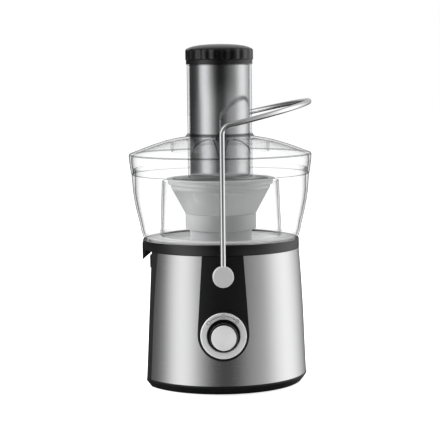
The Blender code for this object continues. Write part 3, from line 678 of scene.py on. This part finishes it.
# ------------------------------------------------------------------ lid
lid = lathe(
    "lid_shell",
    [
        (36.4, 378.6, 0.5), (38.5, 378.6, 0.5), (38.5, 297.4, 3), (41.5, 293.6, 1), (45.0, 293.0), (55.0, 291.2),
        (65.0, 289.0), (80.5, 284.2), (93.0, 279.6), (104.0, 275.4, 1), (108.0, 273.9, 0.8), (109.0, 272.0, 0.6), (108.6, 265.5, 0.4),
        (106.5, 250.0, 0.4), (104.3, 250.0, 0.3), (106.2, 264.5, 1), (105.6, 271.6, 1.5), (93.0, 276.8), (80.5, 281.4),
        (65.0, 286.4), (58.8, 287.6, 0.4), (58.8, 276.0, 0.4), (56.8, 276.0, 0.4), (56.8, 288.0, 0.4), (45.0, 290.3),
        (38.5, 290.9, 0.8), (38.5, 245.5, 0.4), (36.4, 245.5, 0.4),
    ],
    CLEAR,
    192,
)
# Painted shade: dark lines on the lid's rim, chute ends, chute foot and deflector corners; the roof gets a softer edge
# darkening, also painted shade.
edge_lines(
    lid,
    EDGE_SHADE,
    (107.9, 109.2, 270.5, 274.2),
    (38.4, 41.4, 293.3, 297.2),
    (36.0, 39.0, 377.9, 378.8),
    (36.0, 39.0, 245.3, 246.2),
    (56.5, 59.1, 275.8, 276.6),
)
edge_lines(lid, ROOF, (42.5, 106.9, 271.0, 293.6))
ride(lid, "base", ["lid"])


def roof_height(r):
    """The roof's upper face, in millimetres."""
    points = ((41.5, 293.6), (45.0, 293.0), (55.0, 291.2), (65.0, 289.0), (80.5, 284.2), (93.0, 279.6), (104.0, 275.4), (108.0, 273.9))
    for (r0, z0), (r1, z1) in zip(points, points[1:]):
        if r <= r1:
            return z0 + (z1 - z0) * (r - r0) / (r1 - r0)
    return points[-1][1]


def roof_rib(start, end, bow, width, height):
    """A low rib standing on the roof, from start to end in X and Y, bowed sideways."""
    (x0, y0), (x1, y1) = start, end
    length = math.hypot(x1 - x0, y1 - y0)
    side = (-(y1 - y0) / length, (x1 - x0) / length)
    bm = bmesh.new()
    rows = []
    for i in range(25):
        t = i / 24
        x = x0 + (x1 - x0) * t + side[0] * bow * math.sin(math.pi * t)
        y = y0 + (y1 - y0) * t + side[1] * bow * math.sin(math.pi * t)
        z = roof_height(math.hypot(x, y))
        tall = height * min(1.0, 6 * t + 0.15, 6 * (1 - t) + 0.15)
        w = width / 2
        rows.append([bm.verts.new(((x + side[0] * o) * MM, (y + side[1] * o) * MM, (z + h) * MM)) for o, h in ((-w, -0.4), (w, -0.4), (w * 0.7, tall), (-w * 0.7, tall))])
    for a, b in zip(rows, rows[1:]):
        for k in range(4):
            j = (k + 1) % 4
            bm.faces.new((a[k], a[j], b[j], b[k]))
    bm.faces.new(rows[0])
    bm.faces.new(rows[-1])
    return make("rib", bm, RIB)


catches = []
for sign in (-1, 1):
    # The catch bosses use the grey edge-shade material: painted shade in place of refraction.
    boss = lathe("c", [(0, 296.2), (2.4, 296.4, 0.3), (5.4, 296.4, 0.5), (6.0, 295.8, 0.4), (6.0, 291.2), (0, 291.2)][::-1], EDGE_SHADE, 48, False)
    catches.append(place(boss, Matrix.Translation((0, sign * 50 * MM, 0))))
    for hand in (-1, 1):
        catches.append(roof_rib((hand * 9.0, sign * 52.0), (hand * 3.2, sign * 104.0), 0.0, 1.3, 2.0))
        catches.append(roof_rib((hand * 12.0, sign * 44.0), (hand * 33.0, sign * 92.0), -hand * sign * 6.0, 0.9, 1.0))
catches = joined("lid_catches_and_ribs", catches)
ride(catches, "base")

# ------------------------------------------------------------------ pusher
pusher = lathe(
    "pusher_tube_metal",
    [(0, 248.2), (33.8, 248.2, 1.5), (33.8, 383.5), (35.4, 383.5), (35.4, 245.8, 2.0), (0, 245.8)],
    SMOKED,
    144,
    False,
)
ride(pusher, "pusher", ["pusher_tube"])


def flutes(r, z, a):
    if 385.2 < z < 396.4 and r > 39.0:
        return r - 0.95 * (0.5 + 0.5 * math.cos(20 * a)) ** 1.3
    return r


cap_side = [(40.5, 395.0 - 9.6 * i / 6) for i in range(7)]
cap = lathe(
    "pusher_cap_knob",
    [(0, 403.0), (12, 402.7), (22, 402.0), (30, 400.7), (35, 399.3), (38.6, 397.6, 1.5), (40.3, 396.2, 0.6)]
    + cap_side
    + [(40.5, 384.8, 0.3), (39.5, 384.3, 0.2), (39.5, 379.0, 0.4), (36.0, 379.0), (36.0, 384.0), (0, 384.0)],
    GLOSS,
    288,
    False,
    wave=flutes,
)
ride(cap, "pusher", ["pusher_cap"])

# ------------------------------------------------------------------ sieve basket
hub = lathe(
    "basket_hub_cup",
    [
        (0, 186.2), (39.9, 186.2, 0.6), (39.9, 202.0, 0.4), (42.3, 202.0, 0.4), (42.3, 183.5, 0.8), (37.0, 181.6, 0.8), (37.0, 169.0, 0.5),
        (34.8, 169.0, 0.4), (34.8, 180.2, 1), (16.3, 180.2, 1), (16.3, 167.5, 0.4), (12.9, 167.5, 0.4), (12.9, 183.4), (0, 183.4),
    ],
    GREY,
    128,
    False,
)
ride(hub, "rotor", ["basket_hub"])
rim = lathe(
    "basket_rim_ring",
    [(57.2, 244.0, 0.5), (64.8, 244.0, 0.8), (64.8, 242.6, 0.4), (62.8, 241.6, 0.4), (62.4, 237.2, 0.6), (59.6, 236.0, 0.6), (59.0, 232.0, 0.4), (57.2, 232.0, 0.4)],
    GREY,
    144,
)
ride(rim, "rotor", ["basket_rim"])


def perforated_cone(name, r_top, z_top, r_low, z_low, around, rows, web, mat, thick=0.35):
    """The sieve's cone: sheet with a grid of openings in staggered rows, as one closed skin with its walls."""
    bm = bmesh.new()
    grid = []
    for j in range(rows + 1):
        t = j / rows
        r, z = r_top + (r_low - r_top) * t, z_top + (z_low - z_top) * t
        grid.append([bm.verts.new((r * MM * math.cos(TAU * (i + 0.5 * (j % 2)) / around), r * MM * math.sin(TAU * (i + 0.5 * (j % 2)) / around), z * MM)) for i in range(around)])
    cells = []
    for j in range(rows):
        for i in range(around):
            a, b = grid[j], grid[j + 1]
            k = (i + 1) % around
            if j % 2 == 0:
                cells.append(bm.faces.new((a[i], a[k], b[i])))
                cells.append(bm.faces.new((a[k], b[k], b[i])))
            else:
                cells.append(bm.faces.new((a[i], b[k], b[i])))
                cells.append(bm.faces.new((a[i], a[k], b[k])))
    bm.normal_update()
    bmesh.ops.inset_individual(bm, faces=cells, thickness=web * MM, use_even_offset=True)
    bmesh.ops.delete(bm, geom=[f for f in cells], context="FACES")
    obj = make(name, bm, mat)
    solid = obj.modifiers.new("thick", "SOLIDIFY")
    solid.thickness = thick * MM
    solid.offset = -1
    apply_all(obj)
    return smooth(obj, 60)


SIEVE_WEB = 0.34
sieve = perforated_cone("sieve_cone", 58.0, 231.6, 42.3, 202.4, 120, 16, SIEVE_WEB, SIEVE)
ride(sieve, "rotor", ["sieve_mesh"])
bands = [
    lathe("v", [(57.4, 231.6), (58.1, 231.6), (57.4, 230.0), (56.7, 230.0)], SIEVE, 144),
    lathe("v", [(42.5, 204.4), (43.5, 204.4), (42.4, 202.3), (41.5, 202.3)], SIEVE, 144),
]
bands = joined("sieve_bands", bands)
ride(bands, "rotor")

grater_parts = [
    lathe(
        "g",
        [(0, 223.0), (7, 222.8), (12, 222.0), (18, 219.8), (25, 216.0), (31, 211.0), (36, 206.0), (39.2, 202.4, 0.3), (39.2, 200.4, 0.3), (37.4, 200.4), (34.8, 204.6), (24.2, 214.2), (12, 220.2), (0, 221.0)],
        SIEVE,
        96,
        False,
    )
]
for ring, (r, z, count, lean) in enumerate(((14, 221.4, 10, 20), (19, 219.4, 14, 27), (24, 216.7, 18, 32), (29, 213.0, 22, 40), (33.5, 208.7, 26, 44))):
    for i in range(count):
        a = TAU * (i + 0.5 * (ring % 2)) / count
        bm = bmesh.new()
        bmesh.ops.create_cone(bm, cap_ends=True, segments=6, radius1=0.0011, radius2=0.0002, depth=0.0016)
        tooth = make("t", bm, SIEVE)
        turn = Matrix.Rotation(a, 4, "Z") @ Matrix.Translation((r * MM, 0, z * MM)) @ Matrix.Rotation(math.radians(lean), 4, "Y")
        place(tooth, turn)
        grater_parts.append(tooth)
grater = joined("grater_disc_teeth", grater_parts)
ride(grater, "rotor", ["grater_disc"])

# ------------------------------------------------------------------ dial and knob
SPUN = spun_metal("spun_dial_face", tuple(DIAL.translation), tuple(DIAL_NORMAL), (0.985, 0.985, 0.987), (1.0, 1.0, 1.0), 0.97, 0.60, metallic=0.2)
SATIN = spun_metal("spun_pivot_disc", (0, 0, PIVOT_Z * MM), (0, 1, 0), (0.78, 0.78, 0.78), (0.84, 0.84, 0.84), 0.1, 0.45, metallic=0.35)

ring = place(lathe("dial_ring_trim", [(19.0, 2.7, 0.2), (19.7, 3.4, 0.2), (25.7, 3.4, 0.2), (26.5, 2.6, 0.2), (26.5, 1.1), (19.0, 1.1)], SPUN, 128), DIAL)
ride(ring, "base", ["dial_ring"])


def print_arc(radius, start, end, width, high=0.12):
    """A printed line on the dial ring, at angles in degrees clockwise from the top."""
    bm = bmesh.new()
    rows = []
    steps = max(6, int(abs(end - start) / 3))
    for i in range(steps + 1):
        a = math.radians(start + (end - start) * i / steps)
        rows.append([bm.verts.new((r * math.sin(a) * MM, r * math.cos(a) * MM, z * MM)) for r, z in ((radius - width / 2, 3.38), (radius + width / 2, 3.38), (radius + width / 2, 3.38 + high), (radius - width / 2, 3.38 + high))])
    for a, b in zip(rows, rows[1:]):
        for k in range(4):
            bm.faces.new((a[k], a[(k + 1) % 4], b[(k + 1) % 4], b[k]))
    bm.faces.new(rows[0])
    bm.faces.new(rows[-1])
    return make("print", bm, MARK)


def print_ring(angle, radius, mark):
    """A small printed circle, empty or with one or two bars in it: the generic off, first and second speed marks."""
    a = math.radians(angle)
    centre = Matrix.Translation((radius * math.sin(a) * MM, radius * math.cos(a) * MM, 0))
    parts = [place(lathe("circle", [(1.85, 3.5), (2.25, 3.5), (2.25, 3.38), (1.85, 3.38)], MARK, 32), centre)]
    for i in range(mark):
        x = (i - (mark - 1) / 2) * 1.0
        parts.append(place(box("bar", (x - 0.2, -1.0, 3.38), (x + 0.2, 1.0, 3.5), MARK), centre))
    return parts


marks = []
for r in (22.35, 23.15):
    marks.append(print_arc(r, -41, -7, 0.34))
    marks.append(print_arc(r, 7, 36, 0.34))
for angle, bars in ((-48, 0), (0, 1), (43, 2)):
    marks += print_ring(angle, 22.75, bars)
marks = place(joined("dial_marks", marks), DIAL)
ride(marks, "base")

knob = place(
    lathe(
        "speed_knob_grip",
        [
            (0, 19.4), (14.7, 19.4), (14.7, 21.0, 0.2), (15.6, 21.0, 0.4), (16.2, 19.6, 0.8), (16.6, 1.6, 0.4), (14.0, 1.6), (14.0, 16.8),
            (5.6, 16.8), (5.6, 3.0), (3.4, 3.0), (3.4, 15.0), (0, 15.0),
        ],
        GLOSS,
        120,
        False,
    ),
    DIAL,
)
ride(knob, "speed_knob", ["knob_body"])
face = place(lathe("speed_knob_face", [(0, 21.5), (13.8, 21.5, 0.3), (14.4, 20.9, 0.2), (14.4, 19.8), (0, 19.8)], SPUN, 96, False), DIAL)
ride(face, "speed_knob", ["knob_face"])

# ------------------------------------------------------------------ locking arm


def arm_points():
    lean = math.atan(HOOP_RISE)
    turn = math.pi / 2 - lean
    start = HOOP_Z - BEND_R * math.tan(turn / 2)

    def depth(x):
        return ARM_Y * math.sqrt(max(0.0, 1 - (x / HOOP_REACH) ** 2))

    pts = [(0.0, -ARM_Y, PIVOT_Z + 8.0 + (start - PIVOT_Z - 8.0) * i / 24) for i in range(25)]
    for i in range(1, 15):
        a = turn * i / 14
        x = BEND_R * (1 - math.cos(a))
        pts.append((x, -depth(x), start + BEND_R * math.sin(a)))
    first = math.asin(pts[-1][0] / HOOP_REACH)
    hoop = []
    for i in range(1, 90):
        p = first + (math.pi - 2 * first) * i / 90
        x = HOOP_REACH * math.sin(p)
        hoop.append((x, -ARM_Y * math.cos(p), HOOP_Z + HOOP_RISE * x))
    return pts + hoop + [(x, -y, z) for x, y, z in reversed(pts)]


rod = sweep("locking_arm_rod", arm_points(), ROD_R, CHROME, 32)
ride(rod, "locking_arm", ["arm_bail"])
for name, where in (("front", FRONT), ("rear", REAR)):
    washer = place(lathe(f"arm_pivot_disc_{name}", [(0, 118.0), (11.3, 118.0, 0.2), (12.0, 117.3, 0.2), (12.0, 110.1, 0.3), (0, 110.1)], SATIN, 96, False), where)
    ride(washer, "locking_arm", [f"pivot_disc_{name}"])

# ------------------------------------------------------------------ finishes on the CAD nodes that stay
FINISH = {
    BLACK_SOFT: ["motor_housing", "bottom_cover", "rotary_switch", "interlock_microswitch", "brush_holder_left", "brush_holder_right", "drive_coupling", "interlock_cam"],
    RUBBER: ["rubber_foot_1", "rubber_foot_2", "rubber_foot_3", "rubber_foot_4", "cord_inlet_grommet", "motor_mount_1", "motor_mount_2", "motor_mount_3", "shaft_seal"],
    ZINC: ["cover_screw_1", "cover_screw_2", "cover_screw_3", "upper_bearing", "lower_bearing", "upper_bearing_bracket", "lower_bearing_bracket", "motor_bolt_1", "motor_bolt_2", "motor_shaft", "knob_shaft", "pivot_pin_front", "pivot_pin_rear"],
    COPPER: ["field_coil_front", "field_coil_rear", "armature", "commutator"],
    IRON: ["stator_core"],
    GREY: ["cooling_fan", "interlock_plunger"],
}
for mat, names in FINISH.items():
    for name in names:
        give(name, mat)

# ------------------------------------------------------------------ floor, light and camera
bm = bmesh.new()
bmesh.ops.create_circle(bm, cap_ends=True, segments=96, radius=9.0)
floor = make("studio_floor", bm, None)
floor.location.z = -0.0002
mat = bpy.data.materials.new("studio_floor")
mat.use_nodes = True
tree = mat.node_tree
tree.nodes.clear()
out = node(tree, "ShaderNodeOutputMaterial")
diffuse = node(tree, "ShaderNodeBsdfDiffuse")
diffuse.inputs["Color"].default_value = (0.86, 0.86, 0.86, 1)
glow = node(tree, "ShaderNodeEmission", in_Strength=0.80)
seen = node(tree, "ShaderNodeAddShader")
tree.links.new(diffuse.outputs[0], seen.inputs[0])
tree.links.new(glow.outputs[0], seen.inputs[1])
path = node(tree, "ShaderNodeLightPath")
choose = node(tree, "ShaderNodeMixShader")
tree.links.new(path.outputs["Is Camera Ray"], choose.inputs["Fac"])
tree.links.new(diffuse.outputs[0], choose.inputs[1])
tree.links.new(seen.outputs[0], choose.inputs[2])
tree.links.new(choose.outputs[0], out.inputs["Surface"])
floor.data.materials.append(mat)
floor.visible_glossy = False  # metal and clear plastic mirror the studio below, not the bare floor

# The studio as mirrored in metal and clear plastic: brightness by compass direction, 0 towards the control panel and
# positive to the right, in degrees, in three bands of height.
GAIN = 1.5
LOW = [
    (-180, 0.05), (-150, 0.05), (-120, 0.08), (-101, 0.16), (-93, 0.26), (-85, 0.38), (-77, 0.68), (-71, 0.92), (-61, 1.14), (-50, 1.10),
    (-42, 0.94), (-35, 0.68), (-23, 0.36), (-12, 0.13), (0, 0.08), (12, 0.09), (21, 0.17), (32, 0.33), (45, 0.44), (55, 0.50), (64, 0.62),
    (72, 0.82), (82, 1.04), (97, 1.20), (110, 1.16), (122, 0.95), (136, 0.60), (150, 0.30), (164, 0.12), (180, 0.05),
]
HIGH = [(-180, 0.55), (-158, 0.50), (-140, 0.22)] + [s for s in LOW if -125 < s[0] < 137] + [(148, 0.40), (160, 0.50), (180, 0.55)]
LEVEL = [
    (-180, 0.05), (-150, 0.05), (-118, 0.05), (-100, 0.10), (-90, 0.26), (-81, 0.72), (-70, 1.04), (-58, 1.08), (-46, 0.78), (-36, 0.42),
    (-21, 0.10), (-6, 0.01), (10, 0.015), (25, 0.05), (41, 0.14), (58, 0.30), (72, 0.62), (82, 0.95), (97, 1.18), (110, 1.12), (126, 0.80), (145, 0.60),
    (163, 0.30), (180, 0.05),
]
world = bpy.data.worlds.new("studio")
SCENE.world = world
world.use_nodes = True
tree = world.node_tree
tree.nodes.clear()
out = node(tree, "ShaderNodeOutputWorld")
coords = node(tree, "ShaderNodeTexCoord")
split = node(tree, "ShaderNodeSeparateXYZ")
tree.links.new(coords.outputs["Generated"], split.inputs["Vector"])
back = node(tree, "ShaderNodeMath", operation="MULTIPLY")
back.inputs[1].default_value = -1.0
tree.links.new(split.outputs["Y"], back.inputs[0])
compass = node(tree, "ShaderNodeMath", operation="ARCTAN2")
tree.links.new(split.outputs["X"], compass.inputs[0])
tree.links.new(back.outputs[0], compass.inputs[1])
share = node(tree, "ShaderNodeMapRange")
share.inputs["From Min"].default_value = -math.pi
share.inputs["From Max"].default_value = math.pi
tree.links.new(compass.outputs[0], share.inputs["Value"])
bands = {}
for name, stops in (("low", LOW), ("high", HIGH), ("level", LEVEL)):
    bands[name] = ramp(tree, [((a + 180) / 360, v / GAIN) for a, v in stops], "LINEAR")
    tree.links.new(share.outputs["Result"], bands[name].inputs["Fac"])


def band_step(start, end):
    """0 below start and 1 above end, by the direction's height."""
    n = node(tree, "ShaderNodeMapRange", interpolation_type="SMOOTHSTEP")
    n.inputs["From Min"].default_value = start
    n.inputs["From Max"].default_value = end
    tree.links.new(split.outputs["Z"], n.inputs["Value"])
    return n.outputs["Result"]


def blend_by(factor, first, second):
    n = node(tree, "ShaderNodeMix", data_type="RGBA")
    tree.links.new(factor, n.inputs["Factor"])
    tree.links.new(first, n.inputs[6])
    if isinstance(second, tuple):
        n.inputs[7].default_value = second
    else:
        tree.links.new(second, n.inputs[7])
    return n.outputs[2]


studio = blend_by(band_step(-0.085, -0.055), bands["low"].outputs["Color"], bands["level"].outputs["Color"])
studio = blend_by(band_step(0.04, 0.09), studio, bands["high"].outputs["Color"])
studio = blend_by(band_step(0.62, 0.92), studio, (0.2, 0.2, 0.2, 1))
studio = blend_by(band_step(-0.35, -0.60), studio, (0.03, 0.03, 0.03, 1))
mirror_light = node(tree, "ShaderNodeBackground", in_Strength=GAIN)
tree.links.new(studio, mirror_light.inputs["Color"])
plain_light = node(tree, "ShaderNodeBackground", in_Strength=1.0)
plain_light.inputs["Color"].default_value = (1, 1, 1, 1)
soft_light = node(tree, "ShaderNodeBackground", in_Strength=0.36)
soft_light.inputs["Color"].default_value = (1, 1, 1, 1)
path = node(tree, "ShaderNodeLightPath")
first = node(tree, "ShaderNodeMixShader")
tree.links.new(path.outputs["Is Diffuse Ray"], first.inputs["Fac"])
tree.links.new(mirror_light.outputs[0], first.inputs[1])
tree.links.new(soft_light.outputs[0], first.inputs[2])
second = node(tree, "ShaderNodeMixShader")
tree.links.new(path.outputs["Is Camera Ray"], second.inputs["Fac"])
tree.links.new(first.outputs[0], second.inputs[1])
tree.links.new(plain_light.outputs[0], second.inputs[2])
world.cycles.sampling_method = "NONE"
tree.links.new(second.outputs[0], out.inputs["Surface"])


def area(name, location, target, size, power, glossy=False):
    light = bpy.data.lights.new(name, "AREA")
    light.shape = "RECTANGLE"
    light.size, light.size_y = size
    light.energy = power
    obj = bpy.data.objects.new(name, light)
    SCENE.collection.objects.link(obj)
    obj.location = location
    obj.rotation_euler = (Vector(target) - Vector(location)).to_track_quat("-Z", "Y").to_euler()
    obj.visible_glossy = glossy
    obj.visible_transmission = False
    obj.visible_camera = False
    return obj


area("key", (-2.0, 0.15, 0.75), (0, 0, 0.2), (0.9, 1.1), 46)
area("rim", (1.9, 0.7, 0.75), (0, 0, 0.2), (0.9, 1.1), 22)
area("top", (0, 0.1, 2.2), (0, 0, 0.2), (1.6, 1.6), 30)

camera = bpy.data.cameras.new("camera")
camera.sensor_width = 36.0
camera.lens = 1566.0 / 440.0 * 36.0
camera.clip_start, camera.clip_end = 0.05, 60.0
eye = bpy.data.objects.new("camera", camera)
SCENE.collection.objects.link(eye)
yaw = math.radians(-1.0)
turn = Matrix.Rotation(yaw, 4, "Z") @ Matrix.Rotation(math.radians(90 - 5.834), 4, "X") @ Matrix.Rotation(math.radians(-0.6), 4, "Z")
spot = Matrix.Rotation(yaw, 4, "Z") @ Vector((-0.00095, -1.868, 0.384))
eye.matrix_world = Matrix.Translation(spot) @ turn
SCENE.camera = eye

SCENE.view_settings.view_transform = "Standard"
SCENE.view_settings.look = "None"
SCENE.cycles.transparent_max_bounces = 32  # the bowl and lid are many clear walls deep
